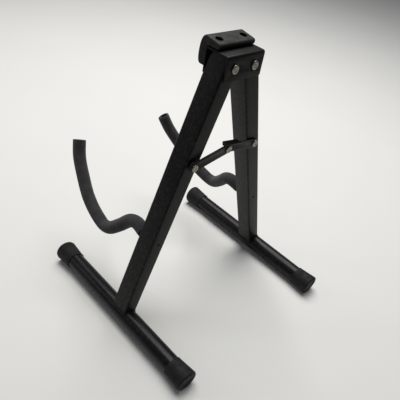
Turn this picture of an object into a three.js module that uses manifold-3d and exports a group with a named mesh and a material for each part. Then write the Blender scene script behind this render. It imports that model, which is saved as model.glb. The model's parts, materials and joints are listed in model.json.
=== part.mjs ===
// A folding A-frame stand for an instrument body. Two splayed legs hinge in a top bracket, a round
// foot lies under each leg, a two-link brace ties the legs, and a padded arm hooks out of each leg.
// Millimetres, +Z up. X runs across the stand, -Y is the side the arms reach to, and the origin is
// on the floor under the middle of the whole stand. "right" is +X and "left" is -X.
import * as THREE from "three";
import { mergeVertices } from "three/addons/utils/BufferGeometryUtils.js";
import Module from "manifold-3d";

const wasm = await Module();
wasm.setup();

// Driving dimensions
const GAP = 0.3;
const FOOT_SPREAD = 150.4;
const FOOT_Y = 24.4;
const FOOT_LENGTH = 320.8;
const FOOT_TUBE_RADIUS = 14.2;
const FOOT_WALL = 1.5;
const FOOT_HEIGHT = 17;
const CAP_RADIUS = 17.6;
const CAP_LENGTH = 34;
const CAP_END = 4.5;
const CAP_ROUND = 3.6;
const CAP_RIM_RADIUS = 15.2;
const CAP_RIM_BEAD = 1.4;

const LEG_Y = FOOT_Y + 6.2;
const LEG_WIDTH = 23.2;
const LEG_DEPTH = 29.4;
const LEG_WALL = 1.5;
const LEG_CORNER = 2.2;
const LEG_ABOVE_PIN = 8.7;

const PIN_X = 16.7;
const PIN_Z = 371.2;
const PIN_RADIUS = 4;
const PIN_HEAD_RADIUS = 5.1;
const PIN_HEAD_THICK = 1.8;
const SLEEVE_RADIUS = 6.5;
const WASHER_RADIUS = 9;
const WASHER_THICK = 0.6;

const BRACKET_HALF_WIDTH = 31;
const BRACKET_TOP = 385.3;
const BRACKET_BOTTOM = 357.8;
const BRACKET_SHEET = 1.6;
const BRACKET_BEND = 3;

const PAD_HALF_WIDTH = 29.6;
const PAD_BACK = 1.5;
const PAD_BOTTOM = 363.6;
const SCREW_X = 19.7;
const SCREW_BACK = -9.8;
const SCREW_RADIUS = 1.9;
const SCREW_HEAD_RADIUS = 4;
const SCREW_HEAD_THICK = 2;
const PAD_WELL_RADIUS = 4.8;
const PAD_WELL_FLOOR = 388;

const BRACE_RISE = 9.4;
const BRACE_ALONG_LEG = 259.4;
const LINK_THICK = 1.6;
const RIGHT_LINK_HALF_HEIGHT = 7;
const RIGHT_LINK_LIFT = 1;
const LEFT_LINK_HALF_HEIGHT = 6.4;
const WEB_BACK = -16;
const WEB_FRONT = 18;
const WEB_CUT = 6;
const WEB_DEPTH = 10;
const WEB_UNDER = 8.6;
const WEB_THICK = 1.7;
const RIVET_RADIUS = 3;
const RIVET_HEAD_RADIUS = 5.1;
const RIVET_HEAD_THICK = 1.5;
const RIVET_TAIL_RADIUS = 4.6;
const BRACE_WASHER_RADIUS = 6.2;
const MID_WASHER_RADIUS = 5.5;

const ROD_RADIUS = 4.8;
const FOAM_RADIUS = 10;
const FOAM_BORE = ROD_RADIUS + GAP;
const FOAM_START = 30.2;
const ROD_SHORT_OF_END = 9;
const ARM_STEPS = 38;
const ROD_SIDES = 8;
const FOAM_SIDES = 14;
const ROUND_SIDES = 20;
const ARM_ROOT = 138.4;
const ROOT_HOLE_RADIUS = 1.9;
// The arm's centre line in its leg's plane: how far it stands off the leg's middle, towards -Y when
// negative, and how far up the leg it is.
const ARM_ROUTE = [
  [LEG_DEPTH / 2 - LEG_WALL - GAP, ARM_ROOT], [-LEG_DEPTH / 2, ARM_ROOT], [-35, 142], [-48.5, 137.6], [-66, 118.4],
  [-85, 101], [-98, 98.4], [-125, 105], [-151, 118.4], [-177, 141.5], [-195.5, 162], [-206.4, 185.3],
];

const SPLAY = Math.atan2(FOOT_SPREAD - PIN_X, PIN_Z - FOOT_HEIGHT);
const PIN_ALONG_LEG = Math.hypot(FOOT_SPREAD - PIN_X, PIN_Z - FOOT_HEIGHT);
const FACE = LEG_DEPTH / 2;
const PLATE_INNER = FACE + WASHER_THICK + 2 * GAP;
const PLATE_OUTER = PLATE_INNER + BRACKET_SHEET;
const BACK_LINK_FACE = PLATE_INNER;
const FRONT_LINK_FACE = BACK_LINK_FACE + LINK_THICK + WASHER_THICK + 2 * GAP;
const RIVET_X = FOOT_SPREAD - BRACE_ALONG_LEG * Math.sin(SPLAY);
const RIVET_Z = FOOT_HEIGHT + BRACE_ALONG_LEG * Math.cos(SPLAY);
const LINK_LENGTH = Math.hypot(RIVET_X, BRACE_RISE);
const LINK_SLOPE = Math.atan2(BRACE_RISE, RIVET_X);
const SIDES = { right: 1, left: -1 };

const MATERIALS = {
  paint: new THREE.MeshStandardMaterial({ color: 0x161617, roughness: 0.42, metalness: 0.2 }),
  rubber: new THREE.MeshStandardMaterial({ color: 0x1b1b1c, roughness: 0.75, metalness: 0 }),
  foam: new THREE.MeshStandardMaterial({ color: 0x232426, roughness: 0.95, metalness: 0 }),
  rivet: new THREE.MeshStandardMaterial({ color: 0xb9b4a4, roughness: 0.35, metalness: 0.9 }),
  nylon: new THREE.MeshStandardMaterial({ color: 0x2a2a2b, roughness: 0.6, metalness: 0 }),
};

const stand = new THREE.Group();

function add(parent, name, geometry, material) {
  const mesh = new THREE.Mesh(geometry, MATERIALS[material]);
  mesh.name = name;
  parent.add(mesh);
}

function toManifold(geometry) {
  const bare = geometry.index ? geometry.toNonIndexed() : geometry.clone();
  bare.deleteAttribute("normal");
  bare.deleteAttribute("uv");
  const merged = mergeVertices(bare, 1e-4);
  const vertProperties = new Float32Array(merged.attributes.position.array);
  const triVerts = new Uint32Array(merged.index.array);
  return new wasm.Manifold(new wasm.Mesh({ numProp: 3, vertProperties, triVerts }));
}

function toGeometry(manifold) {
  const mesh = manifold.getMesh();
  const geometry = new THREE.BufferGeometry();
  geometry.setAttribute("position", new THREE.BufferAttribute(new Float32Array(mesh.vertProperties), 3));
  geometry.setIndex(new THREE.BufferAttribute(new Uint32Array(mesh.triVerts), 1));
  geometry.computeVertexNormals();
  return geometry;
}

function cut(geometry, cutters) {
  return toGeometry(cutters.reduce((body, tool) => body.subtract(toManifold(tool)), toManifold(geometry)));
}

function join(pieces) {
  return toGeometry(pieces.map(toManifold).reduce((body, piece) => body.add(piece)));
}

// A rod or disc along Y from one depth to another, centred on (x, z).
function yCylinder(radius, from, to, x = 0, z = 0, sides = ROUND_SIDES) {
  return new THREE.CylinderGeometry(radius, radius, to - from, sides).translate(x, (from + to) / 2, z);
}

function zCylinder(radius, from, to, x = 0, y = 0, sides = ROUND_SIDES) {
  return new THREE.CylinderGeometry(radius, radius, to - from, sides)
    .rotateX(Math.PI / 2)
    .translate(x, y, (from + to) / 2);
}

function box(x, y, z) {
  const size = [x, y, z].map(([low, high]) => high - low);
  const centre = [x, y, z].map(([low, high]) => (low + high) / 2);
  return new THREE.BoxGeometry(...size).translate(...centre);
}

function circle(radius) {
  return new THREE.Shape().absarc(0, 0, radius, 0, 2 * Math.PI);
}

function roundedRectangle(halfX, halfY, corner) {
  const shape = new THREE.Shape();
  const x = halfX - corner;
  const y = halfY - corner;
  shape.absarc(x, y, corner, 0, Math.PI / 2);
  shape.absarc(-x, y, corner, Math.PI / 2, Math.PI);
  shape.absarc(-x, -y, corner, Math.PI, 1.5 * Math.PI);
  shape.absarc(x, -y, corner, 1.5 * Math.PI, 2 * Math.PI);
  return shape;
}

// A profile drawn in (y, z) and run along X, centred on X = 0.
function runAlongX(shape, width, curveSegments = 6) {
  return new THREE.ExtrudeGeometry(shape, { depth: width, bevelEnabled: false, curveSegments })
    .rotateX(Math.PI / 2)
    .rotateZ(Math.PI / 2)
    .translate(-width / 2, 0, 0);
}

// A profile drawn in (x, z) and run along Y, from one depth to another.
function runAlongY(shape, from, to, curveSegments = 10) {
  return new THREE.ExtrudeGeometry(shape, { depth: to - from, bevelEnabled: false, curveSegments })
    .rotateX(Math.PI / 2)
    .translate(0, to, 0);
}

function ring(inner, outer, from, to, x = 0, z = 0) {
  const bore = yCylinder(inner, from - 1, to + 1, x, z);
  return cut(yCylinder(outer, from, to, x, z), [bore]);
}

// A domed head along +Y whose flat side lies at the given depth.
function headProfile(radius, thick, rim = 0.5) {
  const points = [new THREE.Vector2(0, 0), new THREE.Vector2(radius, 0), new THREE.Vector2(radius, thick * rim)];
  points.push(new THREE.Vector2(radius * 0.86, thick), new THREE.Vector2(0, thick));
  return new THREE.LatheGeometry(points, ROUND_SIDES);
}

// Legs: the leg's frame has its Z along the leg, up from the foot's axis.
function legTube() {
  const outline = roundedRectangle(LEG_WIDTH / 2, LEG_DEPTH / 2, LEG_CORNER);
  const bore = roundedRectangle(LEG_WIDTH / 2 - LEG_WALL, LEG_DEPTH / 2 - LEG_WALL, LEG_CORNER - LEG_WALL);
  outline.holes.push(bore);
  const depth = PIN_ALONG_LEG + LEG_ABOVE_PIN;
  const tube = new THREE.ExtrudeGeometry(outline, { depth, bevelEnabled: false, curveSegments: 4 });
  const front = -FACE - 1;
  const back = FACE + 1;
  return cut(tube, [
    yCylinder(FOOT_TUBE_RADIUS + GAP, front, back, 0, 0, 48),
    yCylinder(PIN_RADIUS + GAP, front, back, 0, PIN_ALONG_LEG),
    yCylinder(RIVET_RADIUS + GAP, FACE - LEG_WALL - 1, back, 0, BRACE_ALONG_LEG),
    yCylinder(ROD_RADIUS + GAP, front, 0, 0, ARM_ROOT),
    yCylinder(ROOT_HOLE_RADIUS, 0, back, 0, ARM_ROOT),
  ]);
}

function armCurve(from, shortOfEnd) {
  const points = ARM_ROUTE.map(([across, along]) => new THREE.Vector3(0, across, along));
  const whole = new THREE.CatmullRomCurve3(points, false, "centripetal");
  const length = whole.getLength();
  const start = from / length;
  const span = 1 - shortOfEnd / length - start;
  const part = new THREE.Curve();
  part.getPoint = (t, target = new THREE.Vector3()) => whole.getPointAt(start + span * t, target);
  return part;
}

function alongArm(shape, curve, curveSegments) {
  return new THREE.ExtrudeGeometry(shape, { steps: ARM_STEPS, extrudePath: curve, curveSegments });
}

function armRod() {
  return alongArm(circle(ROD_RADIUS), armCurve(0, ROD_SHORT_OF_END), ROD_SIDES / 2);
}

function armFoam() {
  const tube = circle(FOAM_RADIUS);
  tube.holes.push(circle(FOAM_BORE));
  return alongArm(tube, armCurve(FOAM_START, 0), FOAM_SIDES / 2);
}

function addLeg(side) {
  const sign = SIDES[side];
  const leg = new THREE.Group();
  leg.position.set(sign * FOOT_SPREAD, LEG_Y, FOOT_HEIGHT);
  leg.rotation.y = -sign * SPLAY;
  stand.add(leg);
  const pin = PIN_ALONG_LEG;
  const inside = FACE - LEG_WALL - GAP;
  const washer = FACE + GAP;
  add(leg, `leg_${side}`, legTube(), "paint");
  add(leg, `arm_rod_${side}`, armRod(), "paint");
  add(leg, `arm_foam_${side}`, armFoam(), "foam");
  const bore = PIN_RADIUS + GAP;
  add(leg, `hinge_sleeve_${side}`, ring(bore, SLEEVE_RADIUS, -inside, inside, 0, pin), "nylon");
  const back = ring(bore, WASHER_RADIUS, washer, washer + WASHER_THICK, 0, pin);
  const front = ring(bore, WASHER_RADIUS, -washer - WASHER_THICK, -washer, 0, pin);
  add(leg, `hinge_washer_${side}_back`, back, "nylon");
  add(leg, `hinge_washer_${side}_front`, front, "nylon");
}

// Feet: a round tube along Y with a rubber cap pushed over each end.
function footTube() {
  const half = FOOT_LENGTH / 2 - CAP_END - GAP;
  return ring(FOOT_TUBE_RADIUS - FOOT_WALL, FOOT_TUBE_RADIUS, -half, half);
}

// A cap drawn as a profile of radius against distance from its closed end, with a flat tread.
function footCap() {
  const bore = FOOT_TUBE_RADIUS + GAP;
  const bead = CAP_RIM_RADIUS + GAP;
  const points = [new THREE.Vector2(0, 0)];
  const steps = 5;
  for (let step = 0; step <= steps; step += 1) {
    const turn = (step / steps) * (Math.PI / 2);
    const radius = CAP_RADIUS - CAP_ROUND * (1 - Math.sin(turn));
    points.push(new THREE.Vector2(radius, CAP_ROUND * (1 - Math.cos(turn))));
  }
  points.push(new THREE.Vector2(CAP_RIM_RADIUS, CAP_LENGTH - CAP_RIM_BEAD));
  points.push(new THREE.Vector2(bead, CAP_LENGTH - CAP_RIM_BEAD), new THREE.Vector2(bead, CAP_LENGTH));
  points.push(new THREE.Vector2(bore, CAP_LENGTH), new THREE.Vector2(bore, CAP_END), new THREE.Vector2(0, CAP_END));
  const cap = new THREE.LatheGeometry(points, 32).translate(0, -FOOT_LENGTH / 2, 0);
  const wide = 2 * CAP_RADIUS;
  return cut(cap, [box([-wide, wide], [-FOOT_LENGTH, FOOT_LENGTH], [-wide, -FOOT_HEIGHT])]);
}

function addFoot(side) {
  const foot = new THREE.Group();
  foot.position.set(SIDES[side] * FOOT_SPREAD, FOOT_Y, FOOT_HEIGHT);
  stand.add(foot);
  add(foot, `foot_tube_${side}`, footTube(), "paint");
  add(foot, `foot_cap_${side}_front`, footCap(), "rubber");
  const turned = new THREE.Group();
  turned.rotation.z = Math.PI;
  foot.add(turned);
  add(turned, `foot_cap_${side}_back`, footCap(), "rubber");
}

// Bracket: a channel over both leg tops, open at its two ends and below.
function bracketOutline() {
  const shape = new THREE.Shape();
  const bend = BRACKET_BEND;
  const inner = bend - BRACKET_SHEET;
  const under = BRACKET_TOP - BRACKET_SHEET;
  shape.moveTo(-PLATE_OUTER, BRACKET_BOTTOM);
  shape.lineTo(-PLATE_INNER, BRACKET_BOTTOM);
  shape.absarc(-PLATE_INNER + inner, under - inner, inner, Math.PI, Math.PI / 2, true);
  shape.absarc(PLATE_INNER - inner, under - inner, inner, Math.PI / 2, 0, true);
  shape.lineTo(PLATE_INNER, BRACKET_BOTTOM);
  shape.lineTo(PLATE_OUTER, BRACKET_BOTTOM);
  shape.absarc(PLATE_OUTER - bend, BRACKET_TOP - bend, bend, 0, Math.PI / 2);
  shape.absarc(-PLATE_OUTER + bend, BRACKET_TOP - bend, bend, Math.PI / 2, Math.PI);
  return shape;
}

function bracket() {
  const reach = PLATE_OUTER + 1;
  const pins = [-PIN_X, PIN_X].map((x) => yCylinder(PIN_RADIUS + GAP, -reach, reach, x, PIN_Z));
  const screws = [-SCREW_X, SCREW_X].map((x) =>
    zCylinder(SCREW_RADIUS + GAP, BRACKET_TOP - 4, BRACKET_TOP + 1, x, SCREW_BACK));
  return cut(runAlongX(bracketOutline(), 2 * BRACKET_HALF_WIDTH), [...pins, ...screws]);
}

// Bumper: covers most of the bracket's top and wraps down over its front plate.
function padOutline() {
  const shape = new THREE.Shape();
  const under = BRACKET_TOP + GAP;
  const front = -PLATE_OUTER - GAP;
  shape.moveTo(PAD_BACK - 3, under);
  shape.bezierCurveTo(PAD_BACK + 0.8, under + 0.8, PAD_BACK + 1.4, under + 6.2, PAD_BACK - 2.5, under + 6.8);
  shape.quadraticCurveTo(-12, under + 8.8, -19.5, under + 9.4);
  shape.bezierCurveTo(-25.4, under + 9.8, -28, under + 2.6, -28.8, under - 4);
  shape.bezierCurveTo(-29.6, under - 11, -29.4, PAD_BOTTOM + 5, -28.2, PAD_BOTTOM + 2.4);
  shape.quadraticCurveTo(-27, PAD_BOTTOM, -24, PAD_BOTTOM);
  shape.lineTo(front, PAD_BOTTOM);
  shape.lineTo(front, BRACKET_TOP - BRACKET_BEND);
  shape.absarc(front + BRACKET_BEND + GAP, under - BRACKET_BEND - GAP, BRACKET_BEND + GAP, Math.PI, Math.PI / 2, true);
  return shape;
}

function bumperPad() {
  const head = PLATE_OUTER + PIN_HEAD_THICK + 3 * GAP;
  const pockets = [-PIN_X, PIN_X].map((x) =>
    yCylinder(PIN_HEAD_RADIUS + GAP, -head, -PLATE_OUTER + 1, x, PIN_Z));
  const wells = [-SCREW_X, SCREW_X].flatMap((x) => [
    zCylinder(PAD_WELL_RADIUS, PAD_WELL_FLOOR, BRACKET_TOP + 12, x, SCREW_BACK),
    zCylinder(SCREW_RADIUS + GAP, BRACKET_TOP - 1, PAD_WELL_FLOOR + 1, x, SCREW_BACK),
  ]);
  return cut(runAlongX(padOutline(), 2 * PAD_HALF_WIDTH, 5), [...pockets, ...wells]);
}

function bumperScrew(x) {
  const head = PAD_WELL_FLOOR + GAP;
  const socket = zCylinder(1.6, head + 0.9, head + SCREW_HEAD_THICK + 1, x, SCREW_BACK, 6);
  const screw = join([
    zCylinder(SCREW_HEAD_RADIUS, head, head + SCREW_HEAD_THICK, x, SCREW_BACK),
    zCylinder(SCREW_RADIUS, BRACKET_TOP - 3.4, head + 0.5, x, SCREW_BACK),
  ]);
  return cut(screw, [socket]);
}

function hingeRivet(x) {
  const seat = PLATE_OUTER + GAP;
  return join([
    yCylinder(PIN_RADIUS, -seat - 0.4, seat + 0.4, x, PIN_Z),
    headProfile(PIN_HEAD_RADIUS, PIN_HEAD_THICK).translate(x, seat, PIN_Z),
    headProfile(PIN_HEAD_RADIUS, PIN_HEAD_THICK).rotateZ(Math.PI).translate(x, -seat, PIN_Z),
  ]);
}

function addHead() {
  const head = new THREE.Group();
  head.position.y = LEG_Y;
  stand.add(head);
  add(head, "hinge_bracket", bracket(), "paint");
  add(head, "bumper_pad", bumperPad(), "rubber");
  for (const [side, sign] of Object.entries(SIDES)) {
    add(head, `bumper_screw_${side}`, bumperScrew(sign * SCREW_X), "rivet");
    add(head, `hinge_rivet_${side}`, hingeRivet(sign * PIN_X), "rivet");
  }
}

// Brace: each link's frame has its origin at the mid pivot and its X towards its own leg's rivet.
function linkOutline(halfHeight, lift) {
  const shape = new THREE.Shape();
  shape.absarc(0, lift, halfHeight, Math.PI / 2, 1.5 * Math.PI);
  shape.absarc(LINK_LENGTH, lift, halfHeight, -Math.PI / 2, Math.PI / 2);
  const rivets = [0, LINK_LENGTH];
  for (const x of rivets) {
    shape.holes.push(new THREE.Path().absarc(x, 0, RIVET_RADIUS + GAP, 0, 2 * Math.PI));
  }
  return shape;
}

function rightLink() {
  const outline = linkOutline(RIGHT_LINK_HALF_HEIGHT, RIGHT_LINK_LIFT);
  return runAlongY(outline, FRONT_LINK_FACE, FRONT_LINK_FACE + LINK_THICK);
}

// The left link's mid end carries a web, bent forward over the right link as the brace's stop.
function stopWeb() {
  const near = BACK_LINK_FACE + WEB_DEPTH;
  const shape = new THREE.Shape();
  shape.moveTo(-WEB_FRONT + WEB_CUT, BACK_LINK_FACE);
  shape.lineTo(-WEB_BACK, BACK_LINK_FACE);
  shape.lineTo(-WEB_BACK, near);
  shape.lineTo(-WEB_FRONT, near);
  shape.lineTo(-WEB_FRONT, BACK_LINK_FACE + WEB_CUT);
  return new THREE.ExtrudeGeometry(shape, { depth: WEB_THICK, bevelEnabled: false }).translate(0, 0, WEB_UNDER);
}

function leftLink() {
  const far = BACK_LINK_FACE + LINK_THICK;
  const plate = runAlongY(linkOutline(LEFT_LINK_HALF_HEIGHT, 0), BACK_LINK_FACE, far);
  const riser = box([-WEB_FRONT + WEB_CUT + 3, -WEB_BACK], [BACK_LINK_FACE, far], [4.4, WEB_UNDER + WEB_THICK]);
  return join([plate, riser, stopWeb()]);
}

function addLink(side, geometry) {
  const sign = SIDES[side];
  const link = new THREE.Group();
  link.position.set(0, LEG_Y, RIVET_Z + BRACE_RISE);
  link.rotation.y = sign * LINK_SLOPE;
  stand.add(link);
  const turned = sign > 0 ? geometry : mirrorX(geometry);
  add(link, `brace_link_${side}`, turned, "paint");
  return link;
}

function mirrorX(geometry) {
  const mirrored = geometry.clone().scale(-1, 1, 1);
  const flipped = mirrored.index ? mirrored.toNonIndexed() : mirrored;
  const position = flipped.attributes.position;
  for (let corner = 0; corner < position.count; corner += 3) {
    const first = new THREE.Vector3().fromBufferAttribute(position, corner);
    const last = new THREE.Vector3().fromBufferAttribute(position, corner + 2);
    position.setXYZ(corner, last.x, last.y, last.z);
    position.setXYZ(corner + 2, first.x, first.y, first.z);
  }
  return flipped;
}

function braceRivet(from, seat) {
  return join([
    yCylinder(RIVET_RADIUS, from, seat + 0.4),
    headProfile(RIVET_HEAD_RADIUS, RIVET_HEAD_THICK).translate(0, seat, 0),
  ]);
}

function tailedRivet(from, seat) {
  const tail = yCylinder(RIVET_TAIL_RADIUS, from - RIVET_HEAD_THICK, from);
  return join([toPlain(braceRivet(from - 0.4, seat)), tail]);
}

function toPlain(geometry) {
  const plain = geometry.clone();
  plain.deleteAttribute("normal");
  return plain;
}

function placed(name, geometry, material, x, z) {
  add(stand, name, geometry.clone().translate(x, LEG_Y, z), material);
}

function addBrace() {
  addLink("right", rightLink());
  addLink("left", leftLink());
  const bore = RIVET_RADIUS + GAP;
  const washer = FACE + GAP;
  const outer = FRONT_LINK_FACE + LINK_THICK + GAP;
  const inner = BACK_LINK_FACE + LINK_THICK + GAP;
  const midZ = RIVET_Z + BRACE_RISE;
  const behindWall = FACE - LEG_WALL - GAP;
  const spacer = ring(bore, BRACE_WASHER_RADIUS, washer, FRONT_LINK_FACE - GAP);
  placed("brace_washer_right", spacer, "nylon", RIVET_X, RIVET_Z);
  placed("brace_washer_mid", ring(bore, MID_WASHER_RADIUS, inner, inner + WASHER_THICK), "nylon", 0, midZ);
  placed("brace_washer_left", ring(bore, BRACE_WASHER_RADIUS, washer, BACK_LINK_FACE - GAP), "nylon", -RIVET_X, RIVET_Z);
  placed("brace_rivet_right", tailedRivet(behindWall, outer), "rivet", RIVET_X, RIVET_Z);
  placed("brace_rivet_mid", tailedRivet(BACK_LINK_FACE - GAP, outer), "rivet", 0, midZ);
  placed("brace_rivet_left", braceRivet(washer, inner), "rivet", -RIVET_X, RIVET_Z);
}

for (const side of Object.keys(SIDES)) {
  addLeg(side);
  addFoot(side);
}
addHead();
addBrace();

export default stand;
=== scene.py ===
"""A black folding A-frame instrument stand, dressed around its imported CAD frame.

Lengths in the constants are millimetres; MM turns them into the frame's metres. "right" is +X.
"""
import json
import math

import bmesh
import bpy
from mathutils import Matrix, Vector, noise


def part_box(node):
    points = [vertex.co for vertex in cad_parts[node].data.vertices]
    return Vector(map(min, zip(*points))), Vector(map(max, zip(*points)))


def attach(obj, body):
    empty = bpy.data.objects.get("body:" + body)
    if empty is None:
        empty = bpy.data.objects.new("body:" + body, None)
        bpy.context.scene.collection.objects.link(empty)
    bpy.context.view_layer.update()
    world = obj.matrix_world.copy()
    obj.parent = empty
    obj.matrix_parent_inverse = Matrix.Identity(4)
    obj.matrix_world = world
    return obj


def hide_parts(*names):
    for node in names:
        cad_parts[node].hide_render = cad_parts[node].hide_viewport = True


MM = 0.001
GAP = 0.3 * MM
SIDES = {"right": 1, "left": -1}

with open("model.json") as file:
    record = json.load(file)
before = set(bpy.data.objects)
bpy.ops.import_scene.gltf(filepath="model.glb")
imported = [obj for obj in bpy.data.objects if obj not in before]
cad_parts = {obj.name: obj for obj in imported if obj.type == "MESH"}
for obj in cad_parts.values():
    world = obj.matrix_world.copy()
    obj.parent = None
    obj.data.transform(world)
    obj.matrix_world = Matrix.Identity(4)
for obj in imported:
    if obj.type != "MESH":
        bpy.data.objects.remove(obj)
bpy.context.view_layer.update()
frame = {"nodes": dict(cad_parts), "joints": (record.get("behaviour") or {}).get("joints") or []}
joints = {joint["name"]: joint for joint in frame["joints"]}

# Places read from the frame
PIN = {side: Vector(joints[f"{side}_leg_fold"]["pos_m"]) for side in SIDES}
MID_PIVOT = Vector(joints["left_link_fold"]["pos_m"])
BRACE_PIVOT = Vector(joints["right_link_fold"]["pos_m"])
LEG_Y = PIN["right"].y


def centre(node):
    low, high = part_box(node)
    return (low + high) / 2


def extent(node):
    low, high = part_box(node)
    return high - low


FOOT = {side: centre(f"foot_tube_{side}") for side in SIDES}
FOOT_RADIUS = extent("foot_tube_right").z / 2
FOOT_HALF = extent("foot_tube_right").y / 2
LEG_DEPTH = extent("leg_right").y
LEG_WIDTH = 23.2 * MM
LEG_WALL = 1.5 * MM
LEG_CORNER = 2.4 * MM
RIVET_HOLE = 3.3 * MM
ROOT_HOLE = 1.9 * MM
HINGE_HOLE = 4.3 * MM
HINGE_PIN = 4 * MM
HINGE_HEAD = 5.1 * MM
HINGE_HEAD_THICK = 1.8 * MM
STAY_PIN = 3 * MM
STAY_TAIL = 4.6 * MM
STAY_HEAD = 5.1 * MM
STAY_HEAD_THICK = 1.5 * MM
SCREW_HOLE = 2.2 * MM
SCREW_SHANK = 1.9 * MM
SCREW_HEAD = 4 * MM
SCREW_HEAD_THICK = 2 * MM
WELL_RADIUS = 4.8 * MM
WELL_ABOVE_PLATE = 2.7 * MM
LEG_ABOVE_PIN = 8.7 * MM
CAP_END = 4.5 * MM
CAP_EDGE = 3.2 * MM
SHEET_BEND = 3 * MM
ROD_RADIUS = 4.8 * MM
FOAM_RADIUS = 10 * MM
FOAM_SIDES = 48
ARM_STEPS = 190
ARM_ROOT = 138.4
FOAM_START = 30.2 * MM
ROD_SHORT_OF_END = 9 * MM
ARM_ROUTE = [
    (12.9, ARM_ROOT), (-14.7, ARM_ROOT), (-35, 142), (-48.5, 137.6), (-66, 118.4), (-85, 101),
    (-98, 98.4), (-125, 105), (-151, 118.4), (-177, 141.5), (-195.5, 162), (-206.4, 185.3),
]

SPLAY = math.atan2(FOOT["right"].x - PIN["right"].x, PIN["right"].z - FOOT["right"].z)
FACE = LEG_DEPTH / 2
PLATE_INNER = FACE + 1.2 * MM
PLATE_OUTER = extent("hinge_bracket").y / 2
WASHER_THICK = 0.6 * MM


# ---------------------------------------------------------------- mesh helpers

def new_piece(name, mesh):
    piece = bpy.data.objects.new(name, mesh)
    bpy.context.scene.collection.objects.link(piece)
    return piece


def mesh_from(name, points, faces):
    mesh = bpy.data.meshes.new(name)
    mesh.from_pydata([tuple(point) for point in points], [], faces)
    work = bmesh.new()
    work.from_mesh(mesh)
    bmesh.ops.remove_doubles(work, verts=work.verts, dist=1e-7)
    bmesh.ops.recalc_face_normals(work, faces=work.faces)
    work.to_mesh(mesh)
    work.free()
    return mesh


def smooth(piece, angle=34):
    for face in piece.data.polygons:
        face.use_smooth = True
    piece.data.set_sharp_from_angle(angle=math.radians(angle))
    return piece


def settle(piece):
    """Applies every modifier on the piece to its mesh."""
    bpy.context.view_layer.update()
    shown = piece.evaluated_get(bpy.context.evaluated_depsgraph_get())
    mesh = bpy.data.meshes.new_from_object(shown)
    piece.modifiers.clear()
    piece.data = mesh
    return piece


def drill(piece, cutters):
    """Cuts each cutter's solid out of the piece, then deletes the cutters."""
    for cutter in cutters:
        modifier = piece.modifiers.new("drill", "BOOLEAN")
        modifier.object = cutter
        modifier.solver = "EXACT"
    settle(piece)
    for cutter in cutters:
        bpy.data.objects.remove(cutter)
    return piece


def round_edges(piece, width, segments=3, angle=40):
    bevel = piece.modifiers.new("bevel", "BEVEL")
    bevel.width = width
    bevel.segments = segments
    bevel.limit_method = "ANGLE"
    bevel.angle_limit = math.radians(angle)
    bevel.use_clamp_overlap = True
    return settle(piece)


def rings_to_faces(count, sides, closed):
    """Quads between consecutive rings of points, and end discs where the run isn't closed."""
    faces = []
    for ring in range(count if closed else count - 1):
        here, there = ring * sides, (ring + 1) % count * sides
        for side in range(sides):
            after = (side + 1) % sides
            faces.append((here + side, here + after, there + after, there + side))
    if not closed:
        faces.append(tuple(range(sides)))
        faces.append(tuple(range((count - 1) * sides, count * sides)))
    return faces


def lathe(name, profile, sides=64, closed=False):
    """Turns (radius, along) points about +Y. A closed profile is a hollow ring."""
    points = []
    for radius, along in profile:
        for side in range(sides):
            turn = 2 * math.pi * side / sides
            points.append((radius * math.cos(turn), along, radius * math.sin(turn)))
    return new_piece(name, mesh_from(name, points, rings_to_faces(len(profile), sides, closed)))


def arc(centre_x, centre_y, radius, start, stop, steps=8):
    """Points on an arc, in degrees."""
    turns = [math.radians(start + (stop - start) * step / steps) for step in range(steps + 1)]
    return [(centre_x + radius * math.cos(turn), centre_y + radius * math.sin(turn)) for turn in turns]


def bezier(first, second, third, fourth, steps=10):
    points = []
    for step in range(1, steps + 1):
        t = step / steps
        weights = ((1 - t) ** 3, 3 * t * (1 - t) ** 2, 3 * t * t * (1 - t), t ** 3)
        corners = (first, second, third, fourth)
        points.append(tuple(sum(w * c[axis] for w, c in zip(weights, corners)) for axis in (0, 1)))
    return points


def extrude(name, outline, low, high, place):
    """Runs a closed outline from low to high; place(a, b, run) gives each point."""
    points = [place(a, b, run) for run in (low, high) for a, b in outline]
    return new_piece(name, mesh_from(name, points, rings_to_faces(2, len(outline), False)))


def along_x(a, b, run):
    return (run, a, b)


def along_y(a, b, run):
    return (a, run, b)


def flat(a, b, run):
    return (a, b, run)


def y_disc(radius, low, high, x=0.0, z=0.0, sides=48):
    outline = arc(x, z, radius, 0, 360 - 360 / sides, sides - 1)
    return extrude("cutter", outline, low, high, along_y)


def z_disc(radius, low, high, x, y, sides=48):
    outline = arc(x, y, radius, 0, 360 - 360 / sides, sides - 1)
    return extrude("cutter", outline, low, high, flat)


def move(piece, offset, turn=0.0):
    """Turns the piece's mesh about Y, then shifts it; the object itself stays at the origin."""
    piece.data.transform(Matrix.Translation(offset) @ Matrix.Rotation(turn, 4, "Y"))
    return piece


def finish_piece(piece, body, material, slot, *nodes):
    piece.data.materials.clear()
    piece.data.materials.append(material)
    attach(piece, body)
    if nodes:
        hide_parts(*nodes)
    return piece


# ---------------------------------------------------------------- materials

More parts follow.
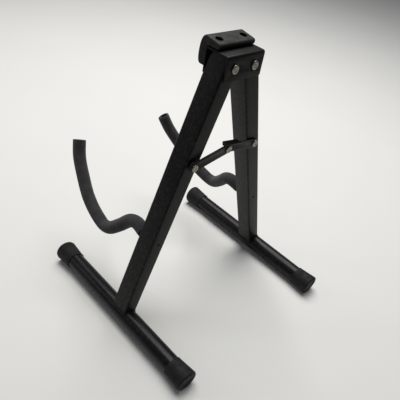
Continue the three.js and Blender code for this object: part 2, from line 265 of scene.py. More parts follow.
class Shader:
    """A Principled material with short ways to add noise, ramps and bump."""

    def __init__(self, name, roughness, metallic=0.0, specular=0.5):
        self.material = bpy.data.materials.new(name)
        self.material.use_nodes = True
        self.nodes = self.material.node_tree.nodes
        self.links = self.material.node_tree.links
        self.surface = self.nodes["Principled BSDF"]
        self.surface.inputs["Roughness"].default_value = roughness
        self.surface.inputs["Metallic"].default_value = metallic
        self.surface.inputs["Specular IOR Level"].default_value = specular
        self.place = self.nodes.new("ShaderNodeTexCoord").outputs["Object"]
        self.normal = None

    def stretch(self, x, y, z):
        mapping = self.nodes.new("ShaderNodeMapping")
        mapping.inputs["Scale"].default_value = (x, y, z)
        self.links.new(self.place, mapping.inputs["Vector"])
        return mapping.outputs["Vector"]

    def noise(self, scale, detail=3.0, roughness=0.55, place=None):
        texture = self.nodes.new("ShaderNodeTexNoise")
        texture.inputs["Scale"].default_value = scale
        texture.inputs["Detail"].default_value = detail
        texture.inputs["Roughness"].default_value = roughness
        self.links.new(place or self.place, texture.inputs["Vector"])
        return texture.outputs["Fac"]

    def cells(self, scale):
        texture = self.nodes.new("ShaderNodeTexVoronoi")
        texture.inputs["Scale"].default_value = scale
        self.links.new(self.place, texture.inputs["Vector"])
        return texture.outputs["Distance"]

    def edges(self):
        return self.nodes.new("ShaderNodeNewGeometry").outputs["Pointiness"]

    def spread(self, value, low, high, out_low=0.0, out_high=1.0):
        span = self.nodes.new("ShaderNodeMapRange")
        span.inputs["From Min"].default_value = low
        span.inputs["From Max"].default_value = high
        span.inputs["To Min"].default_value = out_low
        span.inputs["To Max"].default_value = out_high
        self.links.new(value, span.inputs["Value"])
        return span.outputs["Result"]

    def times(self, first, second):
        product = self.nodes.new("ShaderNodeMath")
        product.operation = "MULTIPLY"
        self.links.new(first, product.inputs[0])
        self.links.new(second, product.inputs[1])
        return product.outputs["Value"]

    def mix(self, amount, first, second):
        blend = self.nodes.new("ShaderNodeMix")
        blend.data_type = "RGBA"
        self.links.new(amount, blend.inputs["Factor"])
        for name, colour in (("A", first), ("B", second)):
            socket = next(s for s in blend.inputs if s.name == name and s.type == "RGBA")
            if isinstance(colour, tuple):
                socket.default_value = (*colour, 1.0)
            else:
                self.links.new(colour, socket)
        return next(s for s in blend.outputs if s.type == "RGBA")

    def colour(self, value):
        self.links.new(value, self.surface.inputs["Base Color"])

    def roughness(self, value):
        self.links.new(value, self.surface.inputs["Roughness"])

    def bump(self, height, strength, distance):
        bump = self.nodes.new("ShaderNodeBump")
        bump.inputs["Strength"].default_value = strength
        bump.inputs["Distance"].default_value = distance
        self.links.new(height, bump.inputs["Height"])
        if self.normal:
            self.links.new(self.normal, bump.inputs["Normal"])
        self.normal = bump.outputs["Normal"]
        self.links.new(self.normal, self.surface.inputs["Normal"])


def powder_coat(name, dark, light, rough_low, rough_high, specular=0.17, lit_and_worn_edge_amount=0.35):
    """Baked black paint: fine orange peel, faint rubs, and edges painted lighter: edge wear, plus a painted
    highlight where the amount is raised.
    """
    shader = Shader(name, rough_low, specular=specular)
    tone = shader.spread(shader.noise(24, 3), 0.3, 0.7)
    paint = shader.mix(tone, dark, light)
    specks = shader.spread(shader.noise(1400, 2), 0.7, 0.8, 0.0, 0.12)
    paint = shader.mix(specks, paint, (0.04, 0.039, 0.038))
    # Convex edges are painted lighter. This is edge wear, and where the amount is raised, as on the bracket,
    # it is also a painted highlight.
    lit_and_worn_edge = shader.spread(shader.edges(), 0.54, 0.64, 0.0, lit_and_worn_edge_amount)
    lit_and_worn_edge = shader.times(lit_and_worn_edge, shader.spread(shader.noise(260, 5), 0.5, 0.66))
    shader.colour(shader.mix(lit_and_worn_edge, paint, (0.07, 0.068, 0.064)))
    rubbed = shader.noise(16, 4, place=shader.stretch(1.0, 1.0, 0.35))
    shader.roughness(shader.spread(rubbed, 0.3, 0.7, rough_low, rough_high))
    shader.bump(shader.noise(900, 2), 0.12, 0.03 * MM)
    return shader.material


def moulded_rubber(name, dark, light, scuff):
    """Matte black rubber: mottled, finely pebbled, greyed where it rubs."""
    shader = Shader(name, 0.7, specular=0.26)
    paint = shader.mix(shader.spread(shader.noise(120, 5), 0.35, 0.68), dark, light)
    rubbed = shader.spread(shader.edges(), 0.515, 0.58, 0.0, 0.55)
    rubbed = shader.times(rubbed, shader.spread(shader.noise(520, 6, 0.7), 0.46, 0.6))
    paint = shader.mix(rubbed, paint, scuff)
    streak = shader.noise(300, 5, place=shader.stretch(1.6, 0.25, 1.0))
    shader.colour(shader.mix(shader.spread(streak, 0.62, 0.74, 0.0, 0.4), paint, scuff))
    shader.roughness(shader.spread(shader.noise(90, 4), 0.3, 0.7, 0.58, 0.82))
    shader.bump(shader.noise(1800, 3), 0.5, 0.06 * MM)
    return shader.material


def foam_skin(name):
    """Closed-cell foam: matte, slightly blue-grey, with pores darkened by painted shade and a soft sheen."""
    shader = Shader(name, 0.92, specular=0.2)
    shader.surface.inputs["Sheen Weight"].default_value = 0.14
    shader.surface.inputs["Sheen Roughness"].default_value = 0.6
    mottle = shader.spread(shader.noise(85, 5), 0.32, 0.7)
    paint = shader.mix(mottle, (0.019, 0.0195, 0.0215), (0.038, 0.0385, 0.042))
    # Painted shade: each pore's centre is coloured darker for the shade inside its hollow.
    pore_shade = shader.spread(shader.cells(2100), 0.0, 0.42)
    shader.colour(shader.mix(pore_shade, (0.006, 0.006, 0.008), paint))
    shader.bump(shader.noise(230, 4), 0.3, 0.25 * MM)
    shader.bump(shader.cells(2100), 0.55, 0.09 * MM)
    return shader.material


def plated_steel(name, dark, light, tarnish, roughness):
    """Dull plating with fine turned lines and darker tarnish in patches."""
    shader = Shader(name, roughness, metallic=1.0)
    paint = shader.mix(shader.spread(shader.noise(700, 4), 0.3, 0.7), dark, light)
    stain = shader.spread(shader.noise(420, 5, 0.7), 0.5, 0.72, 0.0, 0.7)
    shader.colour(shader.mix(stain, paint, tarnish))
    shader.roughness(shader.spread(shader.noise(1100, 3), 0.3, 0.7, roughness - 0.08, roughness + 0.14))
    shader.bump(shader.noise(1700, 3), 0.3, 0.04 * MM)
    return shader.material


def dull_nylon(name):
    shader = Shader(name, 0.55, specular=0.4)
    shader.colour(shader.mix(shader.noise(300, 3), (0.012, 0.012, 0.012), (0.028, 0.028, 0.027)))
    shader.bump(shader.noise(1500, 2), 0.3, 0.04 * MM)
    return shader.material


PAINT = powder_coat("leg_paint", (0.0036, 0.0036, 0.0039), (0.006, 0.006, 0.0062), 0.38, 0.48)
FOOT_PAINT = powder_coat("foot_paint", (0.0036, 0.0036, 0.0048), (0.006, 0.006, 0.0078), 0.3, 0.38, 0.2, 0.2)
# The bracket's edges are painted lighter at 0.7: edge wear plus a painted highlight along the top plate's
# side edges.
BRACKET_PAINT = powder_coat(
    "bracket_paint", (0.0036, 0.0036, 0.0038), (0.0062, 0.0062, 0.0064), 0.4, 0.5, 0.12, 0.7)
BRACE_PAINT = powder_coat(
    "brace_paint", (0.0042, 0.0042, 0.0045), (0.0072, 0.007, 0.0072), 0.38, 0.48, lit_and_worn_edge_amount=0.4)
ROD_PAINT = powder_coat("rod_paint", (0.004, 0.004, 0.0044), (0.007, 0.007, 0.0075), 0.4, 0.5)
SCUFF = (0.05, 0.049, 0.046)
CAP_RUBBER = moulded_rubber("cap_rubber_skin", (0.006, 0.006, 0.0066), (0.012, 0.012, 0.0126), SCUFF)
PAD_RUBBER = moulded_rubber("pad_rubber_skin", (0.009, 0.009, 0.0098), (0.0165, 0.0165, 0.0172), SCUFF)
FOAM = foam_skin("foam_skin")
RIVET = plated_steel("rivet_plating", (0.24, 0.23, 0.185), (0.4, 0.38, 0.32), (0.11, 0.1, 0.08), 0.4)
SCREW = plated_steel("screw_finish", (0.07, 0.07, 0.07), (0.16, 0.16, 0.15), (0.04, 0.04, 0.036), 0.42)
NYLON = dull_nylon("nylon_skin")


# ---------------------------------------------------------------- legs and feet

def rounded_rectangle(half_x, half_y, corner, steps=6):
    x, y = half_x - corner, half_y - corner
    return (arc(x, y, corner, 0, 90, steps) + arc(-x, y, corner, 90, 180, steps)
            + arc(-x, -y, corner, 180, 270, steps) + arc(x, -y, corner, 270, 360, steps))


def leg_foot(side):
    """Where the leg's middle line meets its foot's axis."""
    return Vector((FOOT[side].x, LEG_Y, FOOT[side].z))


def leg_length(side):
    return (PIN[side] - leg_foot(side)).length


def saddle(x):
    """How far up the leg its foot's round surface reaches, across the leg at x."""
    radius = FOOT_RADIUS + GAP
    return math.sqrt(radius * radius - x * x)


def into_leg(piece, side):
    """Turns a piece made in the leg's own frame, with Z up the leg, to where the leg stands."""
    return move(piece, leg_foot(side), -SIDES[side] * SPLAY)


def make_leg(side):
    outer = rounded_rectangle(LEG_WIDTH / 2, FACE, LEG_CORNER)
    inner = rounded_rectangle(LEG_WIDTH / 2 - LEG_WALL, FACE - LEG_WALL, LEG_CORNER - LEG_WALL)
    top = leg_length(side) + LEG_ABOVE_PIN
    edge = 0.35 * MM
    levels = [(outer, None, 0.0), (outer, top - edge, 0.0), (outer, top, edge), (inner, top, -edge),
              (inner, top - edge, 0.0), (inner, None, 0.0)]
    points = []
    for outline, height, inset in levels:
        for x, y in outline:
            shrink = 1 - inset / (LEG_WIDTH / 2)
            points.append((x * shrink, y * shrink, saddle(x) if height is None else height))
    name = f"leg_tube_{side}"
    leg = new_piece(name, mesh_from(name, points, rings_to_faces(len(levels), len(outer), True)))
    pin = leg_length(side)
    rivet = (BRACE_PIVOT - leg_foot("right")).length
    reach = FACE + MM
    drill(leg, [
        y_disc(HINGE_HOLE, -reach, reach, 0, pin),
        y_disc(RIVET_HOLE, FACE - 3 * MM, reach, 0, rivet),
        y_disc(ROD_RADIUS + GAP, -reach, 0, 0, ARM_ROOT * MM),
        y_disc(ROOT_HOLE, 0, reach, 0, ARM_ROOT * MM),
    ])
    smooth(into_leg(leg, side), 30)
    return finish_piece(leg, f"{side}_leg", PAINT, "frame_black", f"leg_{side}")


def make_weld(side):
    """The bead where the leg's saddle meets its foot, with the ripples of a hand-run weld."""
    path = rounded_rectangle(LEG_WIDTH / 2 + 0.3 * MM, FACE + 0.3 * MM, LEG_CORNER, 4)
    dense = resample(path, 220)
    sides = 10
    points = []
    for index, (x, y) in enumerate(dense):
        outward = Vector((x, y)).normalized()
        wave = math.sin(index * 2 * math.pi / 5.5)
        ripple = 1 + 0.14 * wave + 0.12 * noise.noise(Vector((x, y, 0)) * 300)
        radius = 1.15 * MM * ripple
        for step in range(sides):
            turn = 2 * math.pi * step / sides
            off = radius * math.cos(turn)
            height = saddle(min(abs(x), 0.98 * FOOT_RADIUS)) + 0.25 * MM + radius * math.sin(turn)
            points.append((x + outward.x * off, y + outward.y * off, height))
    name = f"foot_weld_{side}"
    bead = new_piece(name, mesh_from(name, points, rings_to_faces(len(dense), sides, True)))
    smooth(into_leg(bead, side), 80)
    return finish_piece(bead, f"{side}_leg", PAINT, "frame_black")


def resample(path, count):
    """Evenly spaced points round a closed path."""
    corners = [Vector(point) for point in path]
    steps = [(corners[(i + 1) % len(corners)] - corner).length for i, corner in enumerate(corners)]
    total, points, index, passed = sum(steps), [], 0, 0.0
    for number in range(count):
        target = total * number / count
        while passed + steps[index] < target:
            passed += steps[index]
            index += 1
        part = (target - passed) / steps[index] if steps[index] else 0.0
        points.append(tuple(corners[index].lerp(corners[(index + 1) % len(corners)], part)))
    return points


def make_foot_tube(side):
    inner = FOOT_RADIUS - LEG_WALL
    profile = [(FOOT_RADIUS, -FOOT_HALF), (FOOT_RADIUS, FOOT_HALF), (inner, FOOT_HALF), (inner, -FOOT_HALF)]
    tube = lathe(f"foot_bar_{side}", profile, 72, closed=True)
    smooth(move(tube, FOOT[side]))
    return finish_piece(tube, f"{side}_leg", FOOT_PAINT, "foot_black", f"foot_tube_{side}")


def cap_profile(length, end_radius, rim_radius, bore):
    """A tapered cap from its closed end: rounded end edge, shallow dish, bead at the open rim."""
    profile = [(0.4 * MM, 0.55 * MM), (end_radius - 6.5 * MM, 0.55 * MM), (end_radius - 5.6 * MM, 0.0)]
    profile += arc(end_radius - CAP_EDGE, CAP_EDGE, CAP_EDGE, -90, 0, 8)
    profile += [(rim_radius, length - 1.6 * MM), (rim_radius + 0.3 * MM, length - 1.3 * MM)]
    profile += [(rim_radius + 0.3 * MM, length - 0.4 * MM), (rim_radius, length)]
    profile += [(bore, length), (bore, CAP_END), (0.4 * MM, CAP_END)]
    return profile


def make_cap(side, end):
    node = f"foot_cap_{side}_{end}"
    sign = 1 if end == "front" else -1
    size = extent(node)
    rim = FOOT_RADIUS + MM
    profile = cap_profile(size.y, size.x / 2, rim, FOOT_RADIUS + GAP)
    cap = lathe(f"rubber_cap_{side}_{end}", profile, 72)
    low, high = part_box(node)
    start = low.y if end == "front" else high.y
    for vertex in cap.data.vertices:
        vertex.co.y = start + sign * vertex.co.y
        vertex.co.x += FOOT[side].x
        vertex.co.z = max(vertex.co.z + FOOT[side].z, low.z)
    flip_if_inside_out(cap)
    smooth(cap, 38)
    return finish_piece(cap, f"{side}_leg", CAP_RUBBER, "cap_rubber", node)


def flip_if_inside_out(piece):
    work = bmesh.new()
    work.from_mesh(piece.data)
    bmesh.ops.recalc_face_normals(work, faces=work.faces)
    work.to_mesh(piece.data)
    work.free()


# ---------------------------------------------------------------- arms

def catmull_rom(points, per_span=24):
    """The centripetal curve through the points, as a dense run of points."""
    first, last = 2 * points[0] - points[1], 2 * points[-1] - points[-2]
    ends = [first, *points, last]
    run = []
    for index in range(1, len(ends) - 2):
        a, b, c, d = ends[index - 1:index + 3]
        t0 = 0.0
        t1 = t0 + (b - a).length ** 0.5
        t2 = t1 + (c - b).length ** 0.5
        t3 = t2 + (d - c).length ** 0.5
        for step in range(per_span):
            t = t1 + (t2 - t1) * step / per_span
            ab = a * ((t1 - t) / (t1 - t0)) + b * ((t - t0) / (t1 - t0))
            bc = b * ((t2 - t) / (t2 - t1)) + c * ((t - t1) / (t2 - t1))
            cd = c * ((t3 - t) / (t3 - t2)) + d * ((t - t2) / (t3 - t2))
            abc = ab * ((t2 - t) / (t2 - t0)) + bc * ((t - t0) / (t2 - t0))
            bcd = bc * ((t3 - t) / (t3 - t1)) + cd * ((t - t1) / (t3 - t1))
            run.append(abc * ((t2 - t) / (t2 - t1)) + bcd * ((t - t1) / (t2 - t1)))
    run.append(points[-1])
    return run


ARM_LINE = catmull_rom([Vector((across * MM, along * MM)) for across, along in ARM_ROUTE])
ARM_AT = [0.0]
for before, after in zip(ARM_LINE, ARM_LINE[1:]):
    ARM_AT.append(ARM_AT[-1] + (after - before).length)
ARM_LENGTH = ARM_AT[-1]


def arm_point(distance):
    """The arm's place a distance along it, as (y, z) in its leg's frame."""
    distance = min(max(distance, 0.0), ARM_LENGTH)
    index = max(i for i, at in enumerate(ARM_AT[:-1]) if at <= distance)
    here, there = ARM_LINE[index], ARM_LINE[index + 1]
    part = (distance - ARM_AT[index]) / (ARM_AT[index + 1] - ARM_AT[index])
    return here.lerp(there, part)


def sweep_arm(name, rows, sides):
    """A tube along the arm. Each row is (distance, radius, dent), dent giving a factor by angle."""
    points = []
    step = 0.4 * MM
    for distance, radius, dent in rows:
        place = arm_point(distance)
        ahead = arm_point(distance + step) - arm_point(distance - step)
        ahead.normalize()
        up = Vector((ahead.y, -ahead.x))
        up = up if up.y >= 0 else -up
        for side in range(sides):
            turn = 2 * math.pi * side / sides
            reach = radius * dent(turn)
            off = reach * math.cos(turn)
            points.append((reach * math.sin(turn), place.x + up.x * off, place.y + up.y * off))
    return new_piece(name, mesh_from(name, points, rings_to_faces(len(rows), sides, True)))


def plain(_turn):
    return 1.0


# Where the foam kinks over the rod's bends: distance off the leg's middle line, depth, width, and
# 1 for a kink in the upper side or -1 for one in the lower side.
CREASES = [(-98, 0.17, 2.6, 1), (-92, 0.07, 1.8, 1), (-104, 0.06, 2.0, 1), (-39, 0.06, 2.6, -1),
           (-151, 0.03, 3.0, 1)]


def distance_at(across):
    """How far along the arm it first stands that far off the leg's middle."""
    index = next(i for i, point in enumerate(ARM_LINE) if point.x <= across * MM)
    return ARM_AT[index]


def foam_dent(distance):
    """The foam's radius factor by angle there: creases on the inside of bends, soft unevenness."""
    folds = []
    for across, depth, width, inside in CREASES:
        fade = math.exp(-((distance - distance_at(across)) / (width * MM)) ** 2)
        folds.append((depth * fade, inside))

    def factor(turn):
        value = 1 + 0.012 * noise.noise(Vector((math.cos(turn), math.sin(turn), distance * 55)))
        for depth, inside in folds:
            value -= depth * max(0.0, inside * math.cos(turn)) ** 1.5
        return value

    return factor


def make_foam(side):
    start, stop = FOAM_START, ARM_LENGTH
    rim, bore = 1.3 * MM, ROD_RADIUS + GAP
    mouth = 7.4 * MM
    rows = [(start, FOAM_RADIUS - rim, plain), (start + 0.3 * rim, FOAM_RADIUS - 0.3 * rim, plain)]
    body = [start + rim + (stop - start - 2 * rim) * step / ARM_STEPS for step in range(ARM_STEPS + 1)]
    rows += [(distance, FOAM_RADIUS, foam_dent(distance)) for distance in body]
    rows += [(stop - 0.3 * rim, FOAM_RADIUS - 0.25 * rim, plain), (stop, FOAM_RADIUS - rim, plain)]
    rows += [(stop - 0.5 * MM, mouth, plain), (stop - 6 * MM, mouth - 0.8 * MM, plain)]
    rows += [(stop - 8.4 * MM, bore, plain)]
    inner = [stop - 9 * MM - (stop - start - 9 * MM) * step / 60 for step in range(61)]
    rows += [(distance, bore, plain) for distance in inner]
    foam = sweep_arm(f"foam_sleeve_{side}", rows, FOAM_SIDES)
    smooth(into_leg(foam, side), 60)
    return finish_piece(foam, f"{side}_leg", FOAM, "foam", f"arm_foam_{side}")


def make_rod(side):
    stop = ARM_LENGTH - ROD_SHORT_OF_END
    edge = 0.8 * MM
    distances = [stop * step / 90 for step in range(91)]
    rows = [(0.0, 0.3 * MM, plain), (0.0, ROD_RADIUS - edge, plain)]
    rows += [(max(distance, edge), ROD_RADIUS, plain) for distance in distances[1:-1]]
    rows += [(stop - edge, ROD_RADIUS, plain), (stop, ROD_RADIUS - edge, plain), (stop, 0.3 * MM, plain)]
    rod = sweep_arm(f"steel_arm_{side}", rows, 24)
    close_ends(rod)
    smooth(into_leg(rod, side), 50)
    return finish_piece(rod, f"{side}_leg", ROD_PAINT, "arm_black", f"arm_rod_{side}")


def close_ends(piece):
    """Replaces the long quads that join a closed run's two ends with a cap at each end."""
    work = bmesh.new()
    work.from_mesh(piece.data)
    longest = 20 * MM
    doomed = [face for face in work.faces if max(edge.calc_length() for edge in face.edges) > longest]
    bmesh.ops.delete(work, geom=doomed, context="FACES_ONLY")
    rims = [edge for edge in work.edges if edge.is_boundary]
    bmesh.ops.holes_fill(work, edges=rims, sides=0)
    bmesh.ops.recalc_face_normals(work, faces=work.faces)
    work.to_mesh(piece.data)
    work.free()


# ---------------------------------------------------------------- head

def make_bracket():
    low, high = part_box("hinge_bracket")
    outer, inner, bend = PLATE_OUTER, PLATE_INNER, SHEET_BEND
    sheet = outer - inner
    small = bend - sheet
    under = high.z - sheet
    outline = [(-outer, low.z), (-inner, low.z)]
    outline += arc(-inner + small, under - small, small, 180, 90, 6)
    outline += arc(inner - small, under - small, small, 90, 0, 6)
    outline += [(inner, low.z), (outer, low.z)]
    outline += arc(outer - bend, high.z - bend, bend, 0, 90, 8)
    outline += arc(-outer + bend, high.z - bend, bend, 90, 180, 8)
    outline = [(a + LEG_Y, b) for a, b in outline]
    piece = extrude("hinge_channel", outline, low.x, high.x, along_x)
    reach = outer + MM
    pins = [y_disc(HINGE_HOLE, LEG_Y - reach, LEG_Y + reach, PIN[side].x, PIN[side].z) for side in SIDES]
    screws = [z_disc(SCREW_HOLE, high.z - 4 * MM, high.z + MM, screw_x(side), screw_y()) for side in SIDES]
    drill(piece, pins + screws)
    smooth(round_edges(piece, 0.35 * MM, 3, 50), 34)
    return finish_piece(piece, "head", BRACKET_PAINT, "bracket_black", "hinge_bracket")


def screw_x(side):
    return centre(f"bumper_screw_{side}").x


def screw_y():
    return centre("bumper_screw_right").y


def pad_outline(under, bottom):
    """The bumper's side profile as (y from the leg's middle, z), in millimetres above the plate."""
    front, back = -(PLATE_OUTER + GAP) / MM, 1.5
    drop = (under - bottom) / MM
    line = [(back - 3, 0.0)]
    line += bezier(line[-1], (back + 0.8, 0.8), (back + 1.4, 6.2), (back - 2.5, 6.8))
    line += bezier(line[-1], (-6, 7.5), (-9, 8.1), (-12.6, 8.4), 6)
    line += bezier(line[-1], (-15, 8.5), (-16.4, 9.3), (-19.5, 9.4), 6)
    line += bezier(line[-1], (-25.4, 9.8), (-28, 2.6), (-28.8, -4))
    line += bezier(line[-1], (-29.6, -11), (-29.4, 5 - drop), (-28.2, 2.4 - drop))
    line += bezier(line[-1], (-27.4, 0.8 - drop), (-26, -drop), (-24, -drop), 6)
    line += [(front, -drop), (front, -3.3)]
    line += arc(front + 3.3, -3.3, 3.3, 180, 90, 6)[1:]
    return [(LEG_Y + a * MM, under + b * MM) for a, b in line]


def make_pad():
    low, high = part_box("bumper_pad")
    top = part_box("hinge_bracket")[1].z
    piece = extrude("rubber_bumper", pad_outline(top + GAP, low.z), low.x, high.x, along_x)
    rivet_back = LEG_Y - PLATE_OUTER - 3 * MM
    rivet_front = LEG_Y - PLATE_OUTER + MM
    pocket = HINGE_HEAD + GAP
    pockets = [y_disc(pocket, rivet_back, rivet_front, PIN[side].x, PIN[side].z) for side in SIDES]
    drill(piece, pockets)
    round_edges(piece, 1.5 * MM, 4, 50)
    floor = top + WELL_ABOVE_PLATE
    wells = [z_disc(WELL_RADIUS, floor, high.z + 5 * MM, screw_x(side), screw_y()) for side in SIDES]
    bores = [z_disc(SCREW_HOLE, top - MM, floor + MM, screw_x(side), screw_y()) for side in SIDES]
    drill(piece, wells + bores)
    smooth(piece, 38)
    return finish_piece(piece, "head", PAD_RUBBER, "pad_rubber", "bumper_pad")


def upright(piece, place):
    """Stands a piece turned about +Y on end, along +Z, at a place."""
    piece.data.transform(Matrix.Translation(place) @ Matrix.Rotation(math.pi / 2, 4, "X"))
    return piece


def make_screw(side):
    low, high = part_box(f"bumper_screw_{side}")
    length = high.z - low.z
    head, shank = SCREW_HEAD, SCREW_SHANK
    neck = length - SCREW_HEAD_THICK
    profile = [(0.2 * MM, 0.0), (shank, 0.0), (shank, neck), (head, neck), (head, neck + 0.7 * MM)]
    profile += [(head - 0.5 * MM, length - 0.3 * MM), (head - 1.5 * MM, length), (0.2 * MM, length)]
    screw = lathe(f"pad_screw_{side}", profile, 40)
    upright(screw, Vector((screw_x(side), screw_y(), low.z)))
    flip_if_inside_out(screw)
    arms = []
    for wide, deep in ((2.4, 0.5), (0.5, 2.4)):
        x, y = screw_x(side), screw_y()
        outline = [(x - wide * MM, y - deep * MM), (x + wide * MM, y - deep * MM),
                   (x + wide * MM, y + deep * MM), (x - wide * MM, y + deep * MM)]
        arms.append(extrude("cutter", outline, high.z - 1.2 * MM, high.z + MM, flat))
    drill(screw, arms)
    smooth(screw, 38)
    return finish_piece(screw, "head", SCREW, "screw_steel", f"bumper_screw_{side}")


def head_profile(radius, thick):
    """A set rivet's head from its seat outwards: rolled rim, flat crown, a shallow staked ring."""
    return [(radius - 0.35 * MM, 0.0), (radius, 0.3 * MM), (radius, thick * 0.55),
            (radius * 0.93, thick * 0.86),
            (radius * 0.8, thick), (radius * 0.56, thick), (radius * 0.48, thick - 0.35 * MM),
            (radius * 0.3, thick - 0.4 * MM), (radius * 0.16, thick - 0.1 * MM),
            (0.2 * MM, thick - 0.08 * MM)]


def make_hinge_rivet(side):
    seat = PLATE_OUTER + GAP
    crown = head_profile(HINGE_HEAD, HINGE_HEAD_THICK)
    back = [(radius, seat + along) for radius, along in crown]
    profile = [(radius, -along) for radius, along in reversed(back)]
    profile += [(HINGE_PIN, -seat), (HINGE_PIN, seat)] + back
    rivet = lathe(f"pivot_rivet_{side}", profile, 56)
    smooth(move(rivet, PIN[side]), 40)
    return finish_piece(rivet, "head", RIVET, "rivet_steel", f"hinge_rivet_{side}")


def make_washer(name, node, body, bore):
    low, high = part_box(node)
    outer, thick = (high.x - low.x) / 2, high.y - low.y
    edge = min(0.15 * MM, thick / 4)
    profile = [(bore, 0.0), (outer - edge, 0.0), (outer, edge), (outer, thick - edge)]
    profile += [(outer - edge, thick), (bore, thick)]
    middle = (low + high) / 2
    washer = lathe(name, profile, 48, closed=True)
    smooth(move(washer, Vector((middle.x, low.y, middle.z))))
    return finish_piece(washer, body, NYLON, "nylon", node)


# ---------------------------------------------------------------- brace

LINK_THICK = 1.6 * MM
RIGHT_LINK_HALF_HEIGHT = 7 * MM
RIGHT_LINK_LIFT = 1 * MM
LEFT_LINK_HALF_HEIGHT = 6.4 * MM
RISER_UNDER = 4.4 * MM
BACK_LINK = LEG_Y + PLATE_INNER
FRONT_LINK = BACK_LINK + LINK_THICK + WASHER_THICK + 2 * GAP
LINK_LENGTH = (BRACE_PIVOT - MID_PIVOT).length
LINK_SLOPE = math.atan2(MID_PIVOT.z - BRACE_PIVOT.z, BRACE_PIVOT.x - MID_PIVOT.x)
WEB_UNDER, WEB_THICK, WEB_DEPTH = 8.6 * MM, 1.7 * MM, 10 * MM
WEB_FRONT, WEB_BACK, WEB_CUT = -18 * MM, 16 * MM, 6 * MM


# The body that each brace rivet and its washer ride on
BRACE_BODY = {"right": "right_leg", "mid": "right_link", "left": "left_link"}


def link_bar(name, half, lift, front):
    outline = arc(0, lift, half, 90, 270, 16) + arc(LINK_LENGTH, lift, half, -90, 90, 16)
    back = front + LINK_THICK
    bar = extrude(name, outline, front, back, along_y)
    return drill(bar, [y_disc(RIVET_HOLE, front - MM, back + MM, x, 0) for x in (0, LINK_LENGTH)])


def union(piece, others):
    for other in others:
        modifier = piece.modifiers.new("join", "BOOLEAN")
        modifier.operation = "UNION"
        modifier.object = other
        modifier.solver = "EXACT"
    settle(piece)
    for other in others:
        bpy.data.objects.remove(other)
    return piece


def make_right_link():
    bar = link_bar("stay_right", RIGHT_LINK_HALF_HEIGHT, RIGHT_LINK_LIFT, FRONT_LINK)
    round_edges(bar, 0.3 * MM, 2, 50)
    smooth(move(bar, Vector((MID_PIVOT.x, 0, MID_PIVOT.z)), LINK_SLOPE), 34)
    return finish_piece(bar, "right_link", BRACE_PAINT, "brace_black", "brace_link_right")


def make_left_link():
    """The link whose mid end folds forward into a web over the other link."""
    bar = link_bar("stay_left", LEFT_LINK_HALF_HEIGHT, 0.0, BACK_LINK)
    far, near = BACK_LINK, BACK_LINK + WEB_DEPTH
    web = [(WEB_FRONT + WEB_CUT, far), (WEB_BACK, far), (WEB_BACK, near), (WEB_FRONT, near)]
    web += [(WEB_FRONT, far + WEB_CUT)]
    flange = extrude("web", web, WEB_UNDER, WEB_UNDER + WEB_THICK, flat)
    riser_left = WEB_FRONT + WEB_CUT + 3 * MM
    behind = far + LINK_THICK
    riser = [(riser_left, far), (WEB_BACK, far), (WEB_BACK, behind), (riser_left, behind)]
    wall = extrude("riser", riser, RISER_UNDER, WEB_UNDER + WEB_THICK, flat)
    union(bar, [wall, flange])
    round_edges(bar, 0.3 * MM, 2, 50)
    bar.data.transform(Matrix.Scale(-1, 4, Vector((1, 0, 0))))
    move(bar, Vector((MID_PIVOT.x, 0, MID_PIVOT.z)), -LINK_SLOPE)
    flip_if_inside_out(bar)
    smooth(bar, 34)
    return finish_piece(bar, "left_link", BRACE_PAINT, "brace_black", "brace_link_left")


def make_brace_rivet(place, tailed):
    """A rivet with a set head outside; a tailed one has a second, smaller head inside."""
    node = f"brace_rivet_{place}"
    low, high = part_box(node)
    crown, shank, tail = STAY_HEAD_THICK, STAY_PIN, STAY_TAIL
    seat = high.y - low.y - crown
    profile = [(radius, seat + along) for radius, along in head_profile(STAY_HEAD, crown)]
    stem = [(0.2 * MM, 0.0)]
    if tailed:
        stem += [(tail - 0.4 * MM, 0.0), (tail, 0.5 * MM), (tail, crown), (shank, crown)]
    else:
        stem += [(shank, 0.0)]
    middle = (low + high) / 2
    rivet = lathe(f"stay_rivet_{place}", stem + [(shank, seat)] + profile, 52)
    smooth(move(rivet, Vector((middle.x, low.y, middle.z))), 40)
    return finish_piece(rivet, BRACE_BODY[place], RIVET, "rivet_steel", node)


def dress_hidden(side):
    """The sleeve inside each leg keeps its CAD shape, since nothing shows of it."""
    node = frame["nodes"][f"hinge_sleeve_{side}"]
    node.data.materials.clear()
    node.data.materials.append(NYLON)


# ---------------------------------------------------------------- stage

def add_floor():
    half = 6.0
    corners = [(-half, -half, 0), (half, -half, 0), (half, half, 0), (-half, half, 0)]
    floor = new_piece("floor", mesh_from("floor", corners, [(0, 1, 2, 3)]))
    shader = Shader("floor_paint", 0.85, specular=0.2)
    shader.colour(shader.mix(shader.noise(3, 2), (0.74, 0.74, 0.73), (0.78, 0.78, 0.77)))
    floor.data.materials.append(shader.material)


def add_area(name, place, aim, size, power, colour=(1, 1, 1)):
    light = bpy.data.lights.new(name, "AREA")
    light.shape = "RECTANGLE"
    light.size, light.size_y = size
    light.energy = power
    light.color = colour
    lamp = bpy.data.objects.new(name, light)
    lamp.location = place
    lamp.rotation_euler = (Vector(aim) - Vector(place)).to_track_quat("-Z", "Y").to_euler()
    bpy.context.scene.collection.objects.link(lamp)


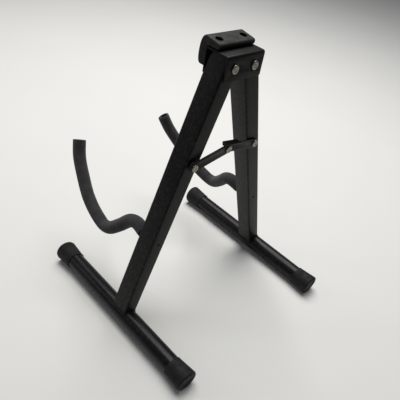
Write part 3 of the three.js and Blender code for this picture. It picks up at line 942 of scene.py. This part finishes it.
def add_lights():
    world = bpy.data.worlds.new("room")
    world.use_nodes = True
    world.node_tree.nodes["Background"].inputs["Color"].default_value = (0.9, 0.95, 1.0, 1)
    world.node_tree.nodes["Background"].inputs["Strength"].default_value = 0.11
    bpy.context.scene.world = world
    add_area("overhead", (-0.5, -0.5, 1.9), (-0.1, -0.1, 0.1), (1.5, 1.5), 47, (1.0, 0.985, 0.955))
    add_area("window", (1.5, -1.5, 1.15), (0.0, 0.0, 0.1), (0.35, 1.0), 3.5, (1.0, 0.98, 0.95))


# The viewpoint: over the stand's right rear, tilted as the picture is.
CAMERA_PLACE = Vector((0.3785, 0.3414, 0.5367))
CAMERA_AIM = Vector((-0.0297, 0.0223, 0.0))
CAMERA_ROLL = 12.17
CAMERA_LENS = 36.24
CAMERA_SHIFT = 0.1667


def add_camera():
    data = bpy.data.cameras.new("view")
    data.lens = CAMERA_LENS
    data.sensor_width = 36
    data.shift_y = CAMERA_SHIFT
    camera = bpy.data.objects.new("view", data)
    aim = (CAMERA_AIM - CAMERA_PLACE).to_track_quat("-Z", "Y").to_matrix().to_4x4()
    roll = Matrix.Rotation(math.radians(CAMERA_ROLL), 4, "Z")
    camera.matrix_world = Matrix.Translation(CAMERA_PLACE) @ aim @ roll
    bpy.context.scene.collection.objects.link(camera)
    bpy.context.scene.camera = camera


def build_stand():
    for side in SIDES:
        make_leg(side)
        make_weld(side)
        make_foot_tube(side)
        make_cap(side, "front")
        make_cap(side, "back")
        make_rod(side)
        make_foam(side)
        make_screw(side)
        make_hinge_rivet(side)
        dress_hidden(side)
        for end in ("front", "back"):
            node = f"hinge_washer_{side}_{end}"
            make_washer(f"pivot_washer_{side}_{end}", node, f"{side}_leg", HINGE_HOLE)
    make_bracket()
    make_pad()
    make_right_link()
    make_left_link()
    for place, body in BRACE_BODY.items():
        make_brace_rivet(place, place != "left")
        make_washer(f"stay_washer_{place}", f"brace_washer_{place}", body, RIVET_HOLE)


bpy.context.scene.view_settings.view_transform = "Standard"
add_camera()
build_stand()
add_floor()
add_lights()
